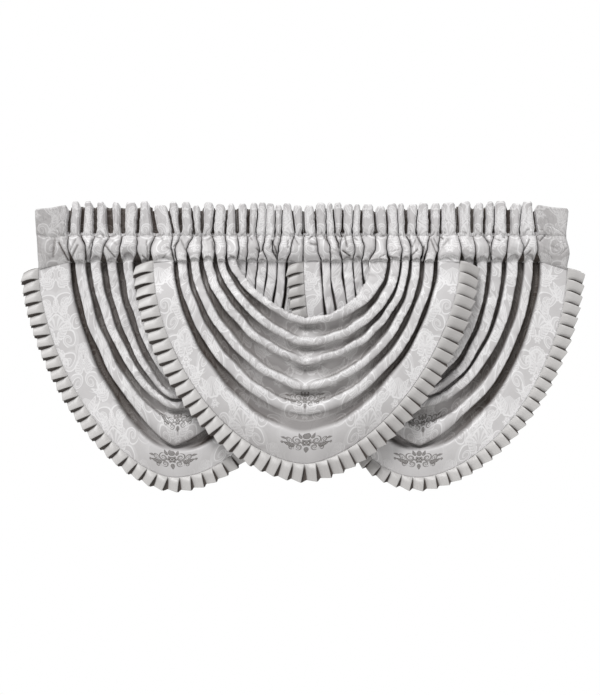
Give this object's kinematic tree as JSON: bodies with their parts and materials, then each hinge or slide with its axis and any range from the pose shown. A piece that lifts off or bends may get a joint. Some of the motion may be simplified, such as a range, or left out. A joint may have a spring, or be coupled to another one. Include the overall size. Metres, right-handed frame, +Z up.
{
  "type": "waterfall valance",
  "caption": "Waterfall valance of overlapping cascade swags, with gathered rod-pocket headings, cowl folds and a knife-pleated trim along the curved edge.",
  "frame": {"origin": "on the line of the curtain rod, in the middle of the valance's width", "axes": "+X along the rod, to the right as seen from the room, +Y back towards the window, +Z up"},
  "size_m": [1.6326, 0.0991, 0.8434],
  "materials": {
    "damask": "silver-grey woven damask, satin scrolls on a duller ground",
    "satin_trim": "plain silver-grey satin"
  },
  "bodies": {
    "root": {"left_outer_heading": "damask", "left_inner_heading": "damask", "left_cloth": "damask", "left_pleated_trim": "satin_trim", "centre_left_heading": "damask", "centre_right_heading": "damask", "centre_cloth": "damask", "centre_pleated_trim": "satin_trim", "right_inner_heading": "damask", "right_outer_heading": "damask", "right_cloth": "damask", "right_pleated_trim": "satin_trim"}
  },
  "joints": []
}
